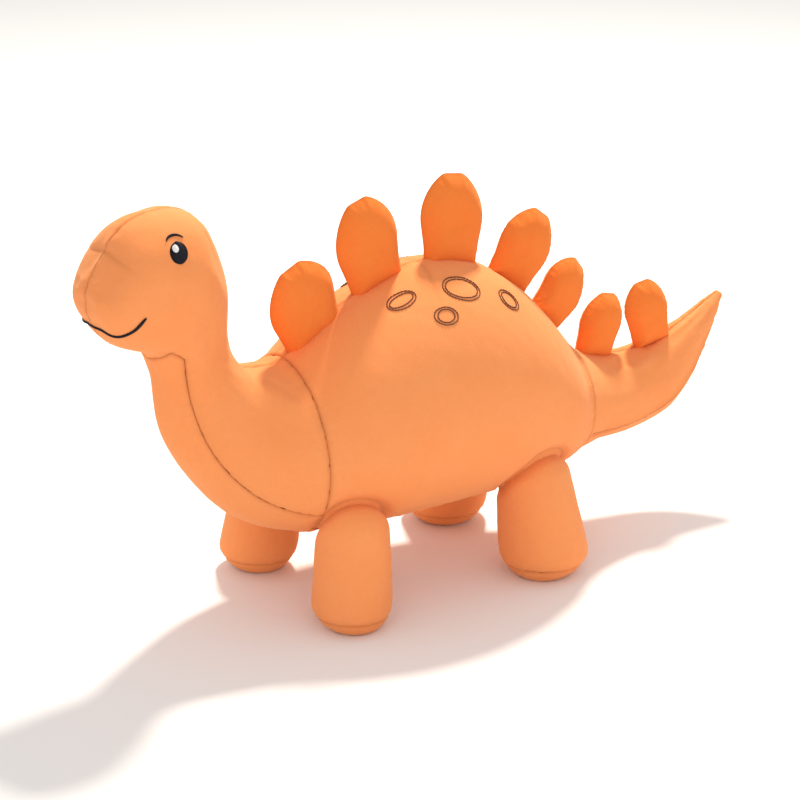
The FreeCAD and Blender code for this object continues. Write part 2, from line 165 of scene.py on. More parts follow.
class Cover:
    """A closed surface as points on rows (first and last are poles) and turns (round, closed)."""

    def __init__(self, points):
        self.points = points
        along = np.gradient(points, axis=0)
        round_ = (np.roll(points, -1, 1) - np.roll(points, 1, 1)) / 2
        normals = np.cross(round_, along)
        normals[0] = normals[1].mean(0)
        normals[-1] = normals[-2].mean(0)
        normals = unit(normals)
        middle = points.mean((0, 1))
        if ((points - middle) * normals).sum() < 0:
            normals = -normals
        self.normals = normals

    def sample(self, values, row, turn):
        """Catmull-Rom interpolation of a (row, turn, 3) table at fractional rows and turns in radians."""
        rows, turns = values.shape[:2]
        row = np.clip(row, 0, rows - 1)
        col = np.mod(turn / (2 * math.pi), 1) * turns
        i = np.clip(np.floor(row).astype(int), 0, rows - 2)
        j = np.floor(col).astype(int)
        a = (row - i)[..., None]
        b = (col - j)[..., None]

        def weights(t):
            return (-0.5 * t + t**2 - 0.5 * t**3, 1 - 2.5 * t**2 + 1.5 * t**3,
                    0.5 * t + 2 * t**2 - 1.5 * t**3, -0.5 * t**2 + 0.5 * t**3)

        total = 0
        for di, wi in zip((-1, 0, 1, 2), weights(a)):
            line = 0
            for dj, wj in zip((-1, 0, 1, 2), weights(b)):
                line = line + wj * values[np.clip(i + di, 0, rows - 1), (j + dj) % turns]
            total = total + wi * line
        return total

    def at(self, row, turn):
        row, turn = np.broadcast_arrays(np.asarray(row, float), np.asarray(turn, float))
        return self.sample(self.points, row, turn), unit(self.sample(self.normals, row, turn))


def frame_rows(centres, backs, ups, cap_rows):
    """Rows of rays for a limb: a fan closing the front, one row per centre, a fan closing the end.

    Returns each row's centre, its backward and upward directions, and the lengthwise tilt of its rays."""
    fan = np.linspace(math.pi / 2, 0, cap_rows, endpoint=False)
    count = len(centres)
    pick = np.r_[np.zeros(cap_rows, int), np.arange(count), np.full(cap_rows, count - 1)]
    tilt = np.r_[-fan, np.zeros(count), fan[::-1]]
    return centres[pick], backs[pick], ups[pick], tilt


def measure(nodes, centres, backs, ups, cap_rows, turns, reach):
    """Distance from the centre line to the outside of CAD nodes, cast inward from outside.

    The direction at a turn t is sin(t) sideways minus cos(t) up, tilted lengthwise by the row's fan angle."""
    verts = []
    faces = []
    for name in nodes:
        mesh = frame["nodes"][name].data
        tri = np.zeros(len(mesh.loops), int)
        mesh.loops.foreach_get("vertex_index", tri)
        faces.append(tri.reshape(-1, 3) + sum(len(v) for v in verts))
        verts.append(node_points(name))
    tree = BVHTree.FromPolygons(np.concatenate(verts).tolist(), np.concatenate(faces).tolist())
    centre, back, up, tilt = frame_rows(centres, backs, ups, cap_rows)
    side = np.cross(back, up)
    side *= np.sign(side @ np.array([1.0, 0.3, 0]))[:, None]
    turn = np.arange(turns) * 2 * math.pi / turns
    radial = np.sin(turn)[None, :, None] * side[:, None] - np.cos(turn)[None, :, None] * up[:, None]
    way = np.cos(tilt)[:, None, None] * radial + np.sin(tilt)[:, None, None] * back[:, None]
    start = centre[:, None] + way * reach
    hits = [tree.ray_cast(Vector(s), Vector(-w))[3] for s, w in zip(start.reshape(-1, 3), way.reshape(-1, 3))]
    fallen = np.array([reach if h is None else h for h in hits]).reshape(start.shape[:2])
    return centre, way, reach - fallen


def off_median(radius):
    """How far each radius lies from the median of the seven nearest in its row."""
    return np.abs(radius - np.median(np.stack([np.roll(radius, s, 1) for s in range(-3, 4)]), 0))


def mend(radius, bad):
    """Fill the bad cells of a radius table from their neighbours, until smooth."""
    radius = np.where(bad, np.median(radius), radius)
    for _ in range(700):
        smooth = (np.roll(radius, 1, 1) + np.roll(radius, -1, 1)
                  + np.vstack([radius[:1], radius[:-1]]) + np.vstack([radius[1:], radius[-1:]])) / 4
        radius = np.where(bad, smooth, radius)
    return radius


def spine_frames(at):
    """Centres, backward and upward directions of the body's cross-sections."""
    table = np.array(SPINE, float)
    rows = curve_through(np.arange(len(table)), table, at)
    lean = np.radians(rows[:, 2])
    zero = np.zeros(len(rows))
    centres = np.stack([zero, rows[:, 0] * MM, rows[:, 1] * MM], -1)
    ups = np.stack([zero, np.sin(lean), np.cos(lean)], -1)
    backs = np.stack([zero, np.cos(lean), -np.sin(lean)], -1)
    return centres, backs, ups


def body_row(spine_at):
    return CAP_ROWS + spine_at * STEPS


def body_cover():
    """The whole body as one cover, with leg pockets and plate slots filled smoothly."""
    at = np.linspace(0, len(SPINE) - 1, (len(SPINE) - 1) * STEPS + 1)
    centres, backs, ups = spine_frames(at)
    centre, way, radius = measure(BODY_NODES, centres, backs, ups, CAP_ROWS, TURNS, 0.105)
    points = centre[:, None] + way * radius[..., None]
    bad = (radius < 1 * MM) | ~np.isfinite(radius)
    for leg in LEGS:
        hip = np.array(JOINTS[leg]["pos_m"])
        typical = centre[:, None] + way * np.median(radius)
        bad |= np.linalg.norm(points - hip, axis=-1) < HIP_POCKET
        bad |= np.linalg.norm((typical - hip)[..., :2], axis=-1) < HIP_POCKET
    ridge = (np.abs(points[..., 0]) < 5 * MM) & (way[..., 2] > 0.3)
    bad |= ridge & (points[..., 1] > PLATES_FROM) & (points[..., 1] < PLATES_TO)
    bad |= off_median(radius) > 1.2 * MM
    return Cover(centre[:, None] + way * mend(radius, bad)[..., None])


def leg_line(leg):
    """Hip, foot on the floor, and the leg's radius at each, with the hip drawn in under the body."""
    hip = np.array(JOINTS[leg]["pos_m"])
    low, high = (np.array(v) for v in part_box(leg + "_sole"))
    foot = (low + high) / 2
    foot[2] = 0
    drawn_in = hip - np.array([math.copysign(HIP_IN, hip[0]), 0, 0])
    wide = (high[1] - low[1]) / 2
    return drawn_in, foot, 0.93 * wide, wide


def leg_cover(leg):
    """A leg from its domed top to its flat sole. Turn 0 faces forward and a seam runs there.

    The measured shape is widened toward the hip and drawn in under the body; its sole is rounded."""
    hip = np.array(JOINTS[leg]["pos_m"])
    drawn_in, foot, top_radius, _ = leg_line(leg)
    low_foot = foot + np.array([0, 0, 13 * MM])
    share = np.linspace(0, 1, 14)[:, None]
    centres = hip + share * (low_foot - hip)
    down = unit(np.tile(foot - hip, (14, 1)))
    down[-4:] = unit(down[-4:] * np.array([0.2, 0.2, 1]))
    front = np.tile([0.0, -1.0, 0.0], (14, 1))
    ups = unit(front - down * (front * down).sum(-1, keepdims=True))
    centre, way, radius = measure((leg + "_tube", leg + "_sole"), centres, down, ups, 12, 48, 0.06)
    bad = (radius < 3 * MM) | (off_median(radius) > 2 * MM)
    points = centre[:, None] + way * mend(radius, bad)[..., None]
    along = ((points - hip) @ (foot - hip) / ((foot - hip) @ (foot - hip)))[..., None]
    middle = hip + along * (foot - hip)
    bare = np.median(np.linalg.norm(points - middle, axis=-1)[13:16])
    widen = 1 + (top_radius / bare - 1) * np.clip(1 - along, 0, 1)
    points = middle + (points - middle) * widen + np.maximum(1 - along, 0) * (drawn_in - hip)
    round_off = 1 - 0.2 * np.clip(1 - points[..., 2:] / SOLE_ROUND, 0, 1) ** 2
    points[..., :2] = foot[:2] + (points[..., :2] - foot[:2]) * round_off
    return Cover(points)


def leg_gap(points):
    """Distance to the nearest leg's side; below 0 inside the leg."""
    gaps = []
    for leg in LEGS:
        hip, foot, top_radius, foot_radius = leg_line(leg)
        gap, along = segment_distance(points, hip, foot)
        gaps.append(gap - top_radius - along * (foot_radius - top_radius))
    return np.min(gaps, axis=0)


# ---------------------------------------------------------------- cloth

def grid_faces(rows, columns, closed):
    """Quads of a grid of points, row by row; closed joins the last column to the first."""
    last = columns if closed else columns - 1
    i, j = np.meshgrid(np.arange(rows - 1), np.arange(last), indexing="ij")
    k = (j + 1) % columns
    quads = np.stack([i * columns + j, i * columns + k, (i + 1) * columns + k, (i + 1) * columns + j], -1)
    return quads.reshape(-1, 4)


def new_object(name, points, faces):
    mesh = bpy.data.meshes.new(name)
    corners = faces if isinstance(faces, list) else faces.tolist()
    mesh.from_pydata(points.reshape(-1, 3).tolist(), [], corners)
    obj = bpy.data.objects.new(name, mesh)
    bpy.context.scene.collection.objects.link(obj)
    return obj


def blow_up(points, faces, sewn, pressure, stiffness, frames, cap):
    """Inflate a sewn cover as cloth: sewn points stay, the others move at most cap. Ten times life size."""
    scale = 10.0
    obj = new_object("cloth", points * scale, faces)
    group = obj.vertex_groups.new(name="sewn")
    group.add([int(i) for i in np.flatnonzero(sewn)], 1.0, "REPLACE")
    cloth = obj.modifiers.new("cloth", "CLOTH")
    settings = cloth.settings
    settings.quality = 6
    settings.mass = 0.25
    settings.tension_stiffness = stiffness
    settings.compression_stiffness = stiffness * 0.6
    settings.shear_stiffness = stiffness * 0.4
    settings.bending_stiffness = 0.15
    settings.use_pressure = True
    settings.uniform_pressure_force = pressure
    settings.vertex_group_mass = "sewn"
    settings.effector_weights.gravity = 0
    cloth.collision_settings.use_collision = False
    cloth.point_cache.frame_start = 1
    cloth.point_cache.frame_end = frames
    scene = bpy.context.scene
    for step in range(1, frames + 1):
        scene.frame_set(step)
    shown = obj.evaluated_get(bpy.context.evaluated_depsgraph_get())
    moved = np.zeros(len(points) * 3)
    shown.data.vertices.foreach_get("co", moved)
    bpy.data.objects.remove(obj)
    scene.frame_set(1)
    shift = moved.reshape(-1, 3) / scale - points
    size = np.linalg.norm(shift, axis=1, keepdims=True)
    return points + shift * np.minimum(1, cap / np.maximum(size, 1e-9))


def stuffed(cover, sewn, cap):
    """A cover pushed out between its seams by its stuffing, with the smallest creases evened out."""
    rows, turns = cover.points.shape[:2]
    flat = cover.points.reshape(-1, 3)
    moved = blow_up(flat, grid_faces(rows, turns, True), sewn.reshape(-1), 1.2, 12, 10, cap)
    shift = (moved - flat).reshape(rows, turns, 3)
    for _ in range(5):
        beside = np.roll(shift, 1, 1) + np.roll(shift, -1, 1)
        ahead = np.concatenate([shift[:1], shift[:-1]]) + np.concatenate([shift[1:], shift[-1:]])
        shift = shift / 2 + (beside + ahead) / 8
    return Cover(cover.points + shift * np.where(sewn, 0.4, 1)[..., None])


# ---------------------------------------------------------------- panels

TUCKS = (                # darts on each side: start, end, a point inside (x, y, z), depth, width in mm
    ((0, -200, 217), (28, -194, 209), (0, -172, 195), 0.7, 1.6),
    ((19, -150, 223), (25, -148, 210), (0, -168, 205), 0.6, 1.5),
    ((0, -9, 182), (36, -19, 166), (0, -14, 100), 0.7, 2.4),
)


def tuck_dip(points):
    """Depth of the darts, which fade to their ends, and the distance to the nearest one.

    Each dart lies where the skin crosses the plane through its ends and a point inside the toy."""
    folded = np.concatenate([np.abs(points[..., :1]), points[..., 1:]], -1)
    depth = 0
    nearest = np.inf
    for *corners, deep, width in TUCKS:
        start, end, inside = (np.array(v, float) * MM for v in corners)
        plane = unit(np.cross(end - start, inside - start))
        reach, along = segment_distance(folded, start, end)
        beyond = np.maximum(reach - 9 * MM, 0) + np.where((along > 0) & (along < 1), 0, reach)
        gap = np.hypot((folded - start) @ plane, beyond)
        depth = depth + deep * MM * np.exp(-(gap / (width * MM)) ** 2) * np.sqrt(1 - along)
        nearest = np.minimum(nearest, gap + 2.5 * MM * along**3)
    return depth, nearest


def seam_dip(gap, run, roll=SEAM_ROLL, depth=SEAM_DEPTH, pull=SEAM_PULL, seed=3):
    """How far the skin lies below its smooth shape at a distance from a seam: a quarter-round rolled edge,
    a wide hollow, and puckers that follow the length along the seam."""
    near = np.clip(1 - gap / roll, 0, 1)
    edge = depth * (1 - np.sqrt(np.maximum(1 - near**2, 0)))
    hollow = pull * np.exp(-(gap / (8 * MM)) ** 2)
    rng = np.random.default_rng(seed)
    pucker = sum(np.sin(run * 2 * math.pi / (w * MM) + rng.uniform(0, 6)) for w in (5.3, 7.9, 12.7)) / 3
    stitch = np.sin(run * 2 * math.pi / (2.9 * MM))
    return (edge + hollow + 0.35 * MM * pucker * np.exp(-gap / (4.5 * MM))
            + 0.10 * MM * stitch * np.exp(-gap / (1.3 * MM)))


def lumps(points, seed):
    """Uneven stuffing under the fabric."""
    broad = ripple(points, (0.032, 0.047, 0.07), seed)
    fine = ripple(points, (0.009, 0.013), seed + 1)
    return 0.55 * MM * broad + 0.12 * MM * fine


def smooth_shade(obj):
    obj.data.polygons.foreach_set("use_smooth", np.ones(len(obj.data.polygons), bool))


def smooth_object(name, points, faces, seam_gap=None):
    """A smooth piece whose points are merged at poles and where a round piece closes.

    seam_gap is each point's distance to the nearest seam, kept for the fabric's shader, which paints shade
    along the seams."""
    obj = new_object(name, points, faces)
    if seam_gap is not None:
        seam = obj.data.attributes.new("seam", "FLOAT", "POINT")
        seam.data.foreach_set("value", seam_gap.reshape(-1).astype(np.float32))
    bm = bmesh.new()
    bm.from_mesh(obj.data)
    bmesh.ops.remove_doubles(bm, verts=bm.verts, dist=1e-6)
    bm.to_mesh(obj.data)
    bm.free()
    smooth_shade(obj)
    return obj


def outward(points, normals, faces):
    """The same faces, turned if they point into the toy."""
    flat = points.reshape(-1, 3)
    a, b, c = (flat[faces[:, k]] for k in (0, 1, 2))
    facing = (np.cross(b - a, c - a) * normals.reshape(-1, 3)[faces[:, 0]]).sum()
    return faces if facing > 0 else faces[:, ::-1]


def between(cover, lows, highs):
    """Rows and turns of a grid about a grain apart, between two edges given as matching (row, turn) knots.

    Row(i, v) = low edge row + v (high edge row - low edge row), and the same for the turn."""
    low = []
    high = []
    share = np.linspace(0, 1, 30)[:, None]
    for a, b, c, d in zip(lows, lows[1:], highs, highs[1:]):
        a, b, c, d = (np.array(v, float) for v in (a, b, c, d))
        ends = ((a, b), (c, d), ((a + c) / 2, (b + d) / 2))
        lines = [cover.at(*(p + share * (q - p)).T)[0] for p, q in ends]
        length = max(np.linalg.norm(np.diff(line, axis=0), axis=-1).sum() for line in lines)
        step = np.linspace(0, 1, max(int(length / GRAIN), 2), endpoint=False)[:, None]
        low.append(a + step * (b - a))
        high.append(c + step * (d - c))
    low = np.concatenate(low + [np.array(lows[-1:], float)])
    high = np.concatenate(high + [np.array(highs[-1:], float)])
    v = np.linspace(0, 1, 25)[None, :, None]
    across = cover.at(*np.moveaxis(low[:, None] + v * (high - low)[:, None], -1, 0))[0]
    wide = np.linalg.norm(np.diff(across, axis=1), axis=-1).sum(1).max()
    v = np.linspace(0, 1, max(int(wide / GRAIN), 8) + 1)[None, :, None]
    return np.moveaxis(low[:, None] + v * (high - low)[:, None], -1, 0)


def panel(name, cover, rows, turns, seams, joined=None, seed=1, lump=1.0):
    """A sewn panel on a grid of rows and turns of a cover.

    Point = cover point - normal * (seam dip + darts - lumps). seams names the sides that are sewn, and
    joined gives the distance to a limb that the panel meets, where it is drawn in."""
    points, normals = cover.at(rows, turns)
    sides = {"first": points[0], "last": points[-1], "low": points[:, 0], "high": points[:, -1]}
    dip, nearest = tuck_dip(points)
    seam_depth = np.zeros(dip.shape)
    for side in seams:
        gap, run = nearest_on(points, sides[side])
        seam_depth = np.maximum(seam_depth, seam_dip(gap, run))
        nearest = np.minimum(nearest, gap)
    if joined is not None:
        gap = joined(points)
        seam_depth = np.maximum(seam_depth, 1.7 * MM * np.exp(-(gap / (3.5 * MM)) ** 2))
        nearest = np.minimum(nearest, np.abs(gap))
    points = points - normals * (dip + seam_depth - lump * lumps(points, seed))[..., None]
    faces = outward(points, normals, grid_faces(*rows.shape, False))
    return smooth_object(name, points, faces, nearest)


# ---------------------------------------------------------------- plates

# Spots on each side of the back: middle (y, z), half length, half height in mm, lean in degrees
SPOTS = (
    (-1, 170, 11.5, 8.6, -14), (-36, 167, 9.2, 5.6, 6), (-19, 160, 7.0, 5.8, -5), (28, 159, 6.2, 7.6, 30),
)
EYE = (-171.5, 217.5)    # y, z of each eye's middle in mm
EYE_HALF = (5.0, 5.7)    # its half length and half height in mm
SPARK_HALF = (1.75, 1.9)
SPARK_AT = (-1.6, 2.1)   # back and up from the eye's middle
BROW_AT, BROW_RADIUS = (0, 4.9), 5.3
BROW_HALF_SPAN = 60      # degrees
THREAD_LEAN = 6          # lean of the satin threads in degrees
# The left half of the smile from the middle of the snout to its corner (x, y, z) in mm
SMILE = ((0, -208, 178), (12, -206, 176.6), (20, -202, 176.8), (26, -197, 180), (30.4, -192.4, 187))
LEAF_TURNS = 88
LEAF_RINGS = 15
LEAF_ROOT = 4 * MM       # depth of the leaf's foot in the body's seam


def node_points(name):
    """Every vertex of a CAD node."""
    mesh = frame["nodes"][name].data
    flat = np.zeros(len(mesh.vertices) * 3)
    mesh.vertices.foreach_get("co", flat)
    return flat.reshape(-1, 3)


def leaf_outline(plate):
    """The outline of a leaf in its YZ plane about its middle, its foot drawn down into the body's seam.

    Returns the middle, the hinge, the direction away from the hinge, and outline points at even turns."""
    hinge = np.array(JOINTS[plate]["pos_m"])
    rise = np.cross([1.0, 0, 0], np.array(JOINTS[plate]["axis"]))
    rise *= np.sign(rise[2])
    flat = node_points(plate + "_left_panel")[:, 1:]
    hull = flat[convex_hull_2d([Vector(q) for q in flat])]
    steps = np.linspace(0, len(hull), 600, endpoint=False)
    knots = np.arange(len(hull) + 1)
    edge = np.stack([np.interp(steps, knots, np.r_[hull[:, c], hull[0, c]]) for c in (0, 1)], -1)
    height = (edge - hinge[1:]) @ rise[1:]
    edge = edge - (LEAF_ROOT * np.clip(1 - height / (6 * MM), 0, 1))[:, None] * rise[1:]
    middle = (edge.max(0) + edge.min(0)) / 2
    side = np.array([-rise[2], rise[1]])
    above = np.clip((edge - middle) @ rise[1:] / np.ptp((edge - middle) @ rise[1:]) * 2, 0, 1)
    edge = edge - (0.16 * above**1.5 * ((edge - middle) @ side))[:, None] * side
    turn = np.arctan2(*(edge - middle).T)
    order = np.argsort(turn)
    grid = np.arange(LEAF_TURNS) * 2 * math.pi / LEAF_TURNS - math.pi
    turn, spread = turn[order], (edge - middle)[order]
    rim = np.stack([np.interp(grid, turn, spread[:, c], period=2 * math.pi) for c in (0, 1)], -1)
    return middle, hinge, rise, rim


def leaf_sides(plate):
    """The two sides of a leaf as (rings, turns, 3) tables: cut flat, sewn round the edge, then inflated."""
    middle, hinge, rise, rim = leaf_outline(plate)
    ring = np.linspace(0, 1, LEAF_RINGS) ** 0.8
    yz = middle + ring[:, None, None] * rim
    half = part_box(plate + "_left_panel")[1].x
    dome = np.broadcast_to(((1 - ring**2.4) ** 0.5)[:, None], yz.shape[:2])
    sides = np.stack([np.concatenate([(sign * half * dome)[..., None], yz], -1) for sign in (1, -1)])
    count = LEAF_RINGS * LEAF_TURNS
    start = (sides * np.array([0.35, 1, 1])).reshape(-1, 3)
    quads = grid_faces(LEAF_RINGS, LEAF_TURNS, True)
    # The two sides share the points of their last ring, and each side's first ring is a single point.
    index = np.arange(2 * count)
    index[count - LEAF_TURNS:count] = index[2 * count - LEAF_TURNS:]
    index[:LEAF_TURNS] = 0
    index[count:count + LEAF_TURNS] = count
    faces = index[np.concatenate([quads, quads[:, ::-1] + count])]
    used, faces = np.unique(faces, return_inverse=True)
    corners = [list(dict.fromkeys(face)) for face in faces.reshape(-1, 4).tolist()]
    sewn = used >= 2 * count - LEAF_TURNS
    moved = start.copy()
    moved[used] = blow_up(start[used], corners, sewn, 4.0, 5, 14, 12 * MM)
    moved = moved[index].reshape(2, LEAF_RINGS, LEAF_TURNS, 3)
    moved[..., 0] *= half / np.abs(moved[..., 0]).max()
    return moved, hinge, rise


def leaf_panel(name, table, sign, seed):
    """One side of a leaf on a fine grid, with a thin rolled edge along its seam."""
    rows, turns = table.shape[:2]
    cover = Cover(table)
    cover.normals *= np.sign((cover.normals[..., 0] * sign).sum())
    ring = np.linspace(0, rows - 1, 30)
    turn = np.linspace(0, 2 * math.pi, 150)
    points, normals = cover.at(ring[:, None], turn[None])
    gap, run = nearest_on(points, points[-1])
    dip = seam_dip(gap, run, roll=1.3 * MM, depth=0.35 * MM, pull=0.1 * MM, seed=seed) * 0.8
    dip *= np.clip(gap / (0.4 * MM), 0.3, 1)
    points = points - normals * (dip - 0.4 * lumps(points, seed))[..., None]
    points[-1] = cover.at(np.array([rows - 1.0])[:, None], turn[None])[0][0]
    faces = outward(points, normals, grid_faces(len(ring), len(turn), False))
    return smooth_object(name, points, faces, gap)


# ---------------------------------------------------------------- thread

def stitches(name, starts, ends, normals, radius, lift):
    """Short threads bowed over the fabric, each a tube of six sides that dips into the cloth at its ends.

    Point(s, a) = start + s (end - start) + lift (sin(pi s) - 0.3) normal
                  + radius (0.55 + 0.45 sin(pi s)) (cos a normal + sin a across)."""
    count = len(starts)
    s = np.linspace(0, 1, 5)
    a = np.arange(6) * 2 * math.pi / 6
    way = unit(ends - starts)
    across = unit(np.cross(way, normals))
    line = starts[:, None] + s[None, :, None] * (ends - starts)[:, None]
    line = line + normals[:, None] * (lift * np.sin(math.pi * s) - 0.3 * lift)[None, :, None]
    fat = (radius * (0.55 + 0.45 * np.sin(math.pi * s)))[None, :, None, None]
    a = a[None, None, :, None]
    round_ = np.cos(a) * normals[:, None, None] + np.sin(a) * across[:, None, None]
    points = line[:, :, None] + fat * round_
    one = grid_faces(5, 6, True)
    shift = (np.arange(count) * 30)[:, None, None]
    faces = (one[None] + shift).reshape(-1, 4)
    caps = np.array([[0, 1, 2, 3], [0, 3, 4, 5], [27, 26, 25, 24], [29, 28, 27, 24]])
    faces = np.concatenate([faces, (caps[None] + shift).reshape(-1, 4)])
    obj = new_object(name, points, outward(points, np.broadcast_to(round_, points.shape), faces))
    smooth_shade(obj)
    return obj


class Patch:
    """A flat (back, up) sheet held against the skin round one place, given as (y, z) in mm."""

    def __init__(self, skin, place):
        places, normals = skin
        self.place = places[np.argmin(np.linalg.norm(places[:, 1:] - np.array(place) * MM, axis=1))]
        gap = np.linalg.norm(places - self.place, axis=1)
        self.normal = unit(normals[gap < 6 * MM].sum(0))
        self.back = unit(np.array([0, 1.0, 0]) - self.normal * self.normal[1])
        up = np.cross(self.normal, self.back)
        self.up = up * np.sign(up[2])
        self.skin = places[gap < 26 * MM], normals[gap < 26 * MM]

    def lay(self, flat):
        """Points on the skin under flat (back, up) points in mm, with the skin's normals."""
        held = self.place + flat[..., :1] * MM * self.back + flat[..., 1:] * MM * self.up
        return drop(held, *self.skin)


def drop(held, places, normals):
    """Bring points to the skin along its normal, by the mean height of the skin points around each.

    Height = sum of exp(-(gap / 1.2 mm)^2) * (height over a skin point's tangent plane) / sum of weights."""
    flat = held.reshape(-1, 3)
    weight = ((flat[:, None] - places[None]) ** 2).sum(-1)
    weight = np.exp(-(weight - weight.min(1, keepdims=True)) / (1.2 * MM) ** 2)
    weight /= weight.sum(1, keepdims=True)
    normal = unit(weight @ normals)
    height = (weight * ((flat[:, None] - places[None]) * normals[None]).sum(-1)).sum(1, keepdims=True)
    return (flat - height * normal).reshape(held.shape), normal.reshape(held.shape)


def satin(half_back, half_up, pitch, lean):
    """Ends of the parallel threads that fill an oval: half sizes and pitch in mm, lean in degrees."""
    rows = np.arange(-half_up + pitch / 2, half_up, pitch)
    reach = half_back * np.sqrt(1 - (rows / half_up) ** 2)
    slant = math.tan(math.radians(lean))
    return np.stack([-reach, rows - reach * slant], -1), np.stack([reach, rows + reach * slant], -1)


# ---------------------------------------------------------------- materials

class Value:
    """A shader socket with arithmetic: each operator adds one Math node."""

    def __init__(self, shader, socket):
        self.shader = shader
        self.socket = socket

    def _math(self, operation, first, second):
        return self.shader.value("ShaderNodeMath", {"operation": operation}, [first, second])

    def __add__(self, other):
        return self._math("ADD", self, other)

    def __sub__(self, other):
        return self._math("SUBTRACT", self, other)

    def __rsub__(self, other):
        return self._math("SUBTRACT", other, self)

    def __mul__(self, other):
        return self._math("MULTIPLY", self, other)

    __radd__ = __add__
    __rmul__ = __mul__


class Shader:
    """A material with one Principled shader and a method that makes every other node."""

    def __init__(self, name, **constants):
        self.material = bpy.data.materials.new(name)
        self.material.use_nodes = True
        self.tree = self.material.node_tree
        self.tree.nodes.clear()
        self.surface = self.tree.nodes.new("ShaderNodeBsdfPrincipled")
        output = self.tree.nodes.new("ShaderNodeOutputMaterial")
        self.tree.links.new(self.surface.outputs[0], output.inputs[0])
        for key, value in constants.items():
            self.surface.inputs[key.replace("_", " ")].default_value = value

    def node(self, kind, settings=None, inputs=(), out=0):
        node = self.tree.nodes.new(kind)
        for key, value in (settings or {}).items():
            setattr(node, key, value)
        pairs = inputs.items() if isinstance(inputs, dict) else enumerate(inputs)
        for key, value in pairs:
            self.put(node.inputs[key], value)
        return node.outputs[out]

    def put(self, socket, value):
        value = value.socket if isinstance(value, Value) else value
        if isinstance(value, bpy.types.NodeSocket):
            self.tree.links.new(value, socket)
        else:
            socket.default_value = value

    def value(self, *args, **kwargs):
        return Value(self, self.node(*args, **kwargs))

    def noise(self, size, detail=2.0, rough=0.5):
        """Noise from 0 to 1 whose spots are about size metres across, fixed to the fabric."""
        place = self.node("ShaderNodeTexCoord", out="Object")
        inputs = {"Vector": place, "Scale": 1 / size, "Detail": detail, "Roughness": rough}
        return self.value("ShaderNodeTexNoise", inputs=inputs)

    def blend(self, factor, first, second, mode="MIX"):
        return self.node("ShaderNodeMix", {"data_type": "RGBA", "blend_type": mode},
                         {0: factor, 6: first, 7: second}, out=2)

    def seam(self, width):
        """A mask for painted shade along seams: 1 on a seam, falling by a factor e at each width away from
        it.
        """
        gap = self.value("ShaderNodeAttribute", {"attribute_name": "seam"}, out="Fac")
        return self.value("ShaderNodeMath", {"operation": "POWER"}, [math.exp(-1), gap * (1 / width)])

    def bump(self, height, strength, distance, normal=None):
        inputs = {"Height": height, "Strength": strength, "Distance": distance}
        if normal is not None:
            inputs["Normal"] = normal
        return self.node("ShaderNodeBump", inputs=inputs)

    def finish(self, colour, roughness, normal=None):
        self.put(self.surface.inputs["Base Color"], colour)
        self.put(self.surface.inputs["Roughness"], roughness)
        if normal is not None:
            self.put(self.surface.inputs["Normal"], normal)
        return self.material


def darker(colour, share):
    return tuple(c * share for c in colour[:3]) + (1,)


def velour(name, colour, deep, sheen):
    """Short brushed pile: nap patches, fine fibre grain, painted shade that darkens and deepens the colour
    along the seams, soft sheen.
    """
    s = Shader(name, Sheen_Weight=0.25, Sheen_Roughness=0.4, Sheen_Tint=sheen, IOR=1.35)
    s.surface.inputs["Specular IOR Level"].default_value = 0.12
    patches = s.noise(0.034, 3.0)
    nap = s.noise(0.0045, 4.0, 0.6)
    fibre = s.noise(0.00075, 2.0, 0.7)
    # near is the mask for the painted shade along seams, darts and leg joins
    near = s.seam(0.0011)
    tone = s.blend((patches - 0.28) * 0.9, colour, deep)
    tone = s.blend(0.22 * nap, tone, darker(deep, 0.80))
    tone = s.blend(0.30 * (1 - fibre), tone, darker(deep, 0.72))
    # painted shade: darker and deeper towards each seam, standing in for the shade in its groove
    tone = s.blend(0.45 * near, tone, darker(deep, 0.45))
    coarse = s.bump(nap, 0.35, 0.0006)
    return s.finish(tone, 0.80 + 0.16 * nap, s.bump(fibre, 0.55, 0.00035, coarse))


def thread(name, colour, shine):
    """Rayon embroidery thread: twisted strands with a soft gloss."""
    s = Shader(name)
    s.surface.inputs["Specular IOR Level"].default_value = shine
    twist = s.noise(0.0004, 1.0)
    tone = s.blend(0.5 * twist, colour, darker(colour, 0.6))
    return s.finish(tone, 0.5 + 0.2 * twist, s.bump(twist, 0.4, 0.0001))


def fibre_fill(name):
    """Loose white polyester."""
    s = Shader(name, Sheen_Weight=0.4)
    wisps = s.noise(0.003, 5.0, 0.7)
    tone = s.blend(wisps, (0.86, 0.84, 0.80, 1), (0.95, 0.94, 0.92, 1))
    return s.finish(tone, 0.85 + 0.1 * wisps, s.bump(wisps, 0.8, 0.002))


def paper_floor(name):
    s = Shader(name)
    grain = s.noise(0.02, 3.0)
    tone = s.blend(0.04 * grain, (0.90, 0.89, 0.88, 1), (0.80, 0.79, 0.78, 1))
    return s.finish(tone, 0.75 + 0.1 * grain)


BODY_VELOUR = velour("peach_velour", (0.94, 0.350, 0.130, 1), (0.93, 0.275, 0.078, 1), (1.0, 0.72, 0.48, 1))
PLATE_VELOUR = velour("orange_velour", (0.91, 0.245, 0.052, 1), (0.90, 0.185, 0.025, 1), (1.0, 0.6, 0.32, 1))
DARK_THREAD = thread("dark_thread", (0.006, 0.007, 0.014, 1), 0.25)
WHITE_THREAD = thread("white_thread", (0.90, 0.90, 0.90, 1), 0.5)
BROWN_THREAD = thread("brown_thread", (0.16, 0.042, 0.012, 1), 0.4)
STUFFING = fibre_fill("polyester_fill")


def finish_piece(obj, material, nodes, body=None, blend=None):
    """Give a piece its material and the CAD nodes it stands for, and attach it to its body; a piece given a
    blend is only baked in place and follows no body.
    """
    obj.data.materials.append(material)
    if blend:
        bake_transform(obj)
    else:
        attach(obj, body)
    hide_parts(*nodes)
    return obj


# ---------------------------------------------------------------- the toy

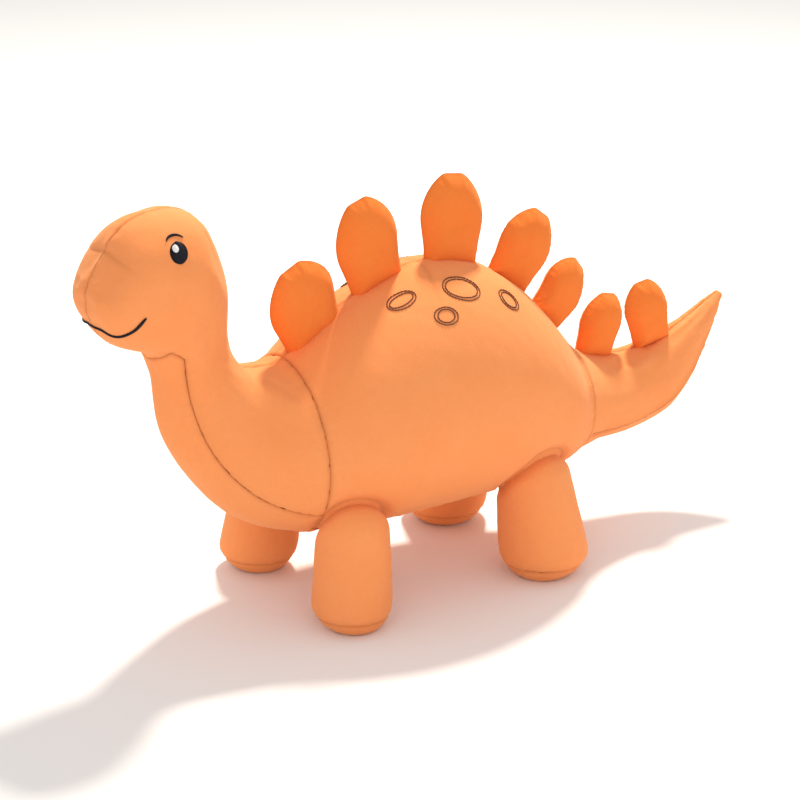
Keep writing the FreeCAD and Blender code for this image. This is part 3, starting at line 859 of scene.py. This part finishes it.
def seam_mask(rows, turns):
    """Measured points that lie on a seam of the body."""
    at = (np.arange(rows)[:, None] - CAP_ROWS) / STEPS
    away = np.abs(np.mod(np.arange(turns) * 2 * math.pi / turns + math.pi, 2 * math.pi) - math.pi)[None]
    step = math.pi / turns
    half = np.where(at < NECK_AT, THROAT_HALF, np.where(at < TAIL_AT, BELLY_HALF, UNDERTAIL_HALF))
    half = np.where(at < THROAT_AT + THROAT_WIDENS, THROAT_TOP, half)
    on_side = (np.abs(away - half) < 1.5 * step) & (at > THROAT_AT)
    on_middle = (away > math.pi - 1.1 * step) | ((away < 1.1 * step) & (at < CHIN_AT))
    on_roof = np.abs(at - CHIN_AT + (CHIN_AT - THROAT_AT) * away / THROAT_TOP) < 0.6 / STEPS
    on_ring = (np.abs(at - NECK_AT) < 0.6 / STEPS) | (np.abs(at - TAIL_AT) < 0.6 / STEPS)
    mask = on_side | on_middle | (on_roof & (away < THROAT_TOP)) | on_ring
    mask[[0, 1, -2, -1]] = True
    return mask


def make_body(cover):
    """Nine panels: left, right and under, for the head, the torso and the tail."""
    end = len(cover.points) - 1
    chin, throat, full, neck, tail = (
        body_row(v) for v in (CHIN_AT, THROAT_AT, THROAT_AT + THROAT_WIDENS, NECK_AT, TAIL_AT))
    head_low = [(0, 0), (chin, 0), (throat, THROAT_TOP), (full, THROAT_HALF), (neck, THROAT_HALF)]
    head_high = [(row, math.pi) for row in (0, body_row(0.8), body_row(1.5), body_row(2.3), neck)]
    sides = (
        ("head", head_low, head_high, ["low", "high", "last"], leg_gap,
         ("torso", "head", (0, -98 * MM, 95 * MM), (0, -134 * MM, 95 * MM))),
        ("torso", [(neck, BELLY_HALF), (tail, BELLY_HALF)], [(neck, math.pi), (tail, math.pi)],
         ["low", "high", "first", "last"], leg_gap, None),
        ("tail", [(tail, UNDERTAIL_HALF), (end, UNDERTAIL_HALF)], [(tail, math.pi), (end, math.pi)],
         ["low", "high", "first"], None, ("torso", "tail", (0, 90.5 * MM, 79 * MM), (0, 122 * MM, 79 * MM))),
    )
    for zone, lows, highs, seams, joined, flex in sides:
        for side, sign in (("left", 1), ("right", -1)):
            rows, turns = between(cover, lows, highs)
            piece = panel("%s_%s" % (zone, side), cover, rows, sign * turns, seams, joined, seed=11)
            finish_piece(piece, BODY_VELOUR, ["%s_%s_panel" % (zone, side)], zone, flex)
    unders = (
        ("throat", "head", throat, neck, THROAT_HALF, sides[0][5], leg_gap),
        ("belly", "torso", neck, tail, BELLY_HALF, None, leg_gap),
        ("tail_under", "tail", tail, end, UNDERTAIL_HALF, sides[2][5], None),
    )
    for name, zone, first, last, half, flex, joined in unders:
        edge = head_low[2:] if name == "throat" else [(first, half), (last, half)]
        rows, turns = between(cover, [(row, -turn) for row, turn in edge], edge)
        if name == "throat":
            share = np.abs(turns) / turns[:, -1:]
            rows = rows + (chin - throat) * (1 - share) * np.linspace(1, 0, len(rows))[:, None]
        seams = ["low", "high", "first"] + ([] if name == "tail_under" else ["last"])
        piece = panel(name, cover, rows, turns, seams, joined, seed=12)
        finish_piece(piece, BODY_VELOUR, [name + "_panel"], zone, flex)


def make_fill(name, cover, first, last, depth, body):
    """Stuffing: a stretch of a cover drawn inward, closed at both ends."""
    rows = np.arange(int(first), int(last) + 1)
    points = cover.points[rows] - cover.normals[rows] * depth
    caps = [np.repeat(points[k].mean(0)[None, None], points.shape[1], 1) for k in (0, -1)]
    points = np.concatenate([caps[0], points, caps[1]])
    normals = np.concatenate([cover.normals[rows[:1]], cover.normals[rows], cover.normals[rows[-1:]]])
    points = points + 0.6 * MM * ripple(points, (0.012, 0.02), 5)[..., None] * normals
    points[0] = points[0].mean(0)
    points[-1] = points[-1].mean(0)
    faces = outward(points, normals, grid_faces(len(points), points.shape[1], True))
    return finish_piece(smooth_object(name, points, faces), STUFFING, [name], body)


def make_leg(leg, body):
    """A leg's tube with one seam behind, its sole and its stuffing."""
    cover = leg_cover(leg)
    rows = len(cover.points)
    height = cover.points[..., 2].mean(1)
    seam_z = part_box(leg + "_sole")[1].z
    below = np.arange(rows) > rows // 2
    sole_row = np.interp(-seam_z, -height[below], np.arange(rows)[below])
    hip = np.array(JOINTS[leg]["pos_m"])
    first, last = 8, 16    # points of the spine along the torso
    table = np.array(SPINE, float)[first:last] * MM

    def body_gap(points):
        """Distance outside the body's skin, measured square to the spine."""
        y = points[..., 1]
        centre_z = np.interp(y, table[:, 0], table[:, 1])
        turn = np.arctan2(points[..., 0], centre_z - points[..., 2])
        skin, _ = body.at(body_row(np.interp(y, table[:, 0], np.arange(first, last))), turn)
        outside = np.hypot(points[..., 0], points[..., 2] - centre_z)
        return outside - np.hypot(skin[..., 0], skin[..., 2] - centre_z)

    full = 2 * math.pi
    tube_rows, tube_turns = between(cover, [(2, 0), (sole_row, 0)], [(2, full), (sole_row, full)])
    tube = panel(leg + "_tube_skin", cover, tube_rows, tube_turns, ["last"], body_gap, seed=21)
    swing = ("torso", leg, hip + np.array([0, 0, 12 * MM]), hip - np.array([0, 0, 14 * MM]))
    finish_piece(tube, BODY_VELOUR, [leg + "_tube"], leg, swing)
    end = rows - 1
    sole_rows, sole_turns = between(cover, [(sole_row, 0), (end, 0)], [(sole_row, full), (end, full)])
    sole = panel(leg + "_sole_skin", cover, sole_rows, sole_turns, ["first"], None, seed=22, lump=0.3)
    finish_piece(sole, BODY_VELOUR, [leg + "_sole"], leg)
    make_fill(leg + "_stuffing", cover, 3, rows - 3, 4 * MM, leg)


def make_plate(plate, seed):
    """A leaf of two panels round its stuffing."""
    sides, hinge, rise = leaf_sides(plate)
    parent = JOINTS[plate]["parent"]
    bend = (parent, plate, hinge + rise * MM, hinge + rise * 9 * MM)
    for table, sign, word in ((sides[0], 1, "left"), (sides[1], -1, "right")):
        piece = leaf_panel("%s_%s" % (plate, word), table, sign, seed)
        finish_piece(piece, PLATE_VELOUR, ["%s_%s_panel" % (plate, word)], blend=bend)
    middle = sides[0].mean((0, 1)) * np.array([0, 1, 1])
    raised = middle + rise * 2.5 * MM
    inner = [raised + (side - middle) * 0.7 for side in sides]
    points = np.concatenate([inner[0], inner[1][::-1][1:]])
    faces = outward(points, points - middle, grid_faces(*points.shape[:2], True))
    fill = smooth_object(plate + "_fill", points, faces)
    finish_piece(fill, STUFFING, [plate + "_stuffing"], plate)


def skin_points(names):
    """Every vertex and normal of finished pieces."""
    places = []
    normals = []
    for name in names:
        mesh = bpy.data.objects[name].data
        co = np.zeros(len(mesh.vertices) * 3)
        mesh.vertices.foreach_get("co", co)
        no = np.zeros(len(mesh.vertices) * 3)
        mesh.vertex_normals.foreach_get("vector", no)
        places.append(co.reshape(-1, 3))
        normals.append(no.reshape(-1, 3))
    return np.concatenate(places), np.concatenate(normals)


def make_face(side):
    """One eye in satin stitch with its highlight, and the arched brow over it."""
    patch = Patch(skin_points(["head_" + side]), EYE)
    low_ends, high_ends = satin(*EYE_HALF, 0.3, THREAD_LEAN)
    start, normal = patch.lay(low_ends)
    end, _ = patch.lay(high_ends)
    lift = 0.2 * MM * normal
    eye = stitches("eye_%s_satin" % side, start + lift, end + lift, normal, 0.32 * MM, 0.9 * MM)
    finish_piece(eye, DARK_THREAD, ["eye_" + side], body="head")
    low_ends, high_ends = satin(*SPARK_HALF, 0.28, THREAD_LEAN)
    start, normal = patch.lay(low_ends + SPARK_AT)
    end, _ = patch.lay(high_ends + SPARK_AT)
    lift = 1.0 * MM * normal
    spark = stitches("eye_%s_highlight" % side, start + lift, end + lift, normal, 0.28 * MM, 0.45 * MM)
    count = 46
    angle = np.radians(np.linspace(-BROW_HALF_SPAN, BROW_HALF_SPAN, count))
    half = 0.85 * np.sin(np.linspace(0.3, math.pi - 0.3, count))[:, None]
    out = np.stack([np.sin(angle), np.cos(angle)], -1)
    along = np.stack([np.cos(angle), -np.sin(angle)], -1) * 0.3
    arc = np.array(BROW_AT) + BROW_RADIUS * out
    start, normal = patch.lay(arc - half * out - along)
    end, _ = patch.lay(arc + half * out + along)
    lift = 0.3 * MM * normal
    brow = stitches("brow_%s_satin" % side, start + lift, end + lift, normal, 0.26 * MM, 0.45 * MM)
    finish_piece(brow, DARK_THREAD, ["brow_" + side], body="head")
    return spark


def make_embroidery():
    """Eyes, brows, smile and spots, on the finished skin."""
    for side in ("left", "right"):
        spark = make_face(side)
        finish_piece(spark, WHITE_THREAD, ["eye_highlights"], body="head")
        make_spots(side)
    make_mouth()


def make_mouth():
    """A smile in slanted satin stitch, thin in the middle and thick near its corners."""
    half_line = np.array(SMILE) * MM
    line = np.concatenate([half_line[:0:-1] * [-1, 1, 1], half_line])
    run = np.r_[0, np.cumsum(np.linalg.norm(np.diff(line, axis=0), axis=1))]
    count = 190
    line = curve_through(run, line, np.linspace(0, run[-1], count))
    places, normals = skin_points(["head_left", "head_right"])
    close = places[:, 1] < -180 * MM
    line, normal = drop(line, places[close], normals[close])
    for _ in range(30):
        line[1:-1] = (line[:-2] + 2 * line[1:-1] + line[2:]) / 4
        normal[1:-1] = unit(normal[:-2] + 2 * normal[1:-1] + normal[2:])
    way = unit(np.gradient(line, axis=0))
    across = unit(np.cross(normal, way))
    share = np.abs(np.linspace(-1, 1, count))
    half = (0.55 + 0.45 * np.clip(share, 0, 0.92) - 5.0 * np.clip(share - 0.92, 0, 1))[:, None] * MM
    line = line + 0.4 * MM * normal
    slant = across * half + way * 0.35 * MM
    mouth = stitches("smile_satin", line - slant, line + slant, normal, 0.30 * MM, 0.5 * MM)
    finish_piece(mouth, DARK_THREAD, ["mouth"], body="head")


def make_spots(side):
    """Each spot is two ovals of backstitch, one inside the other, with uneven stitches."""
    skin = skin_points(["torso_" + side])
    lines = []
    for k, (y, z, half_back, half_up, lean) in enumerate(SPOTS):
        patch = Patch(skin, (y, z))
        for offset in (-0.35, -2.0):
            rng = np.random.default_rng([k, int(offset < -1)])
            count = int((half_back + half_up) * 1.7)
            turn = (np.arange(count) + 0.15 * rng.normal(size=count)) * 2 * math.pi / count
            wander = offset + 0.16 * np.sin(2 * turn + rng.uniform(0, 6)) + 0.07 * rng.normal(size=count)
            oval = np.stack([(half_back + wander) * np.cos(turn), (half_up + wander) * np.sin(turn)], -1)
            tilt = math.radians(lean)
            path = oval @ np.array([[math.cos(tilt), math.sin(tilt)], [-math.sin(tilt), math.cos(tilt)]])
            start, normal = patch.lay(path)
            end = np.roll(start, -1, 0)
            over = unit(end - start) * 0.35 * MM
            lines.append((start - over, end + over, normal))
    rings = stitches("spots_" + side, *(np.concatenate(part) for part in zip(*lines)), 0.36 * MM, 0.5 * MM)
    finish_piece(rings, BROWN_THREAD, ["spot_rings_" + side], body="torso")


def make_camera():
    """A long lens, 56 degrees round from the nose and 20 degrees up."""
    turn, rise, far = math.radians(56), math.radians(20), 1.4
    aim = Vector((0, -0.021, 0.101))
    back = Vector((math.sin(turn) * math.cos(rise), -math.cos(turn) * math.cos(rise), math.sin(rise)))
    data = bpy.data.cameras.new("camera")
    data.lens = 114.5
    data.sensor_width = 36
    camera = bpy.data.objects.new("camera", data)
    camera.location = aim + back * far
    camera.rotation_euler = (-back).to_track_quat("-Z", "Y").to_euler()
    bpy.context.scene.collection.objects.link(camera)
    bpy.context.scene.camera = camera


def area_light(name, place, size, power, colour):
    data = bpy.data.lights.new(name, "AREA")
    data.shape = "DISK"
    data.size = size
    data.energy = power
    data.color = colour
    lamp = bpy.data.objects.new(name, data)
    lamp.location = place
    aim = Vector((0, 0, 0.1)) - Vector(place)
    lamp.rotation_euler = aim.to_track_quat("-Z", "Y").to_euler()
    bpy.context.scene.collection.objects.link(lamp)


def make_studio():
    """Pale floor, a key light high behind the toy's right side, a broad fill by the camera, a pale sky."""
    size = 30.0
    corners = np.array([[-size, -size, 0], [size, -size, 0], [size, size, 0], [-size, size, 0]])
    floor = new_object("floor", corners, np.array([[0, 1, 2, 3]]))
    floor.data.materials.append(paper_floor("pale_floor"))
    area_light("key", (-0.50, 0.45, 1.30), 0.16, 24, (1.0, 0.94, 0.84))
    area_light("fill", (1.3, -0.9, 0.9), 1.4, 5, (1.0, 0.96, 0.93))
    world = bpy.data.worlds.new("studio")
    world.use_nodes = True
    world.node_tree.nodes["Background"].inputs[0].default_value = (1.0, 0.99, 0.98, 1)
    world.node_tree.nodes["Background"].inputs[1].default_value = 0.75
    bpy.context.scene.world = world
    bpy.context.scene.view_settings.view_transform = "Standard"


make_camera()
make_studio()
skin_cover = body_cover()
skin_cover = stuffed(skin_cover, seam_mask(*skin_cover.points.shape[:2]), 2 * MM)
make_body(skin_cover)
make_fill("head_stuffing", skin_cover, 4, body_row(8.2), 5 * MM, "head")
make_fill("torso_stuffing", skin_cover, body_row(9.3), body_row(14.2), 5 * MM, "torso")
make_fill("tail_stuffing", skin_cover, body_row(15.4), len(skin_cover.points) - 6, 4 * MM, "tail")
for leg_name in LEGS:
    make_leg(leg_name, skin_cover)
for number, plate_name in enumerate(PLATES):
    make_plate(plate_name, 40 + number)
make_embroidery()
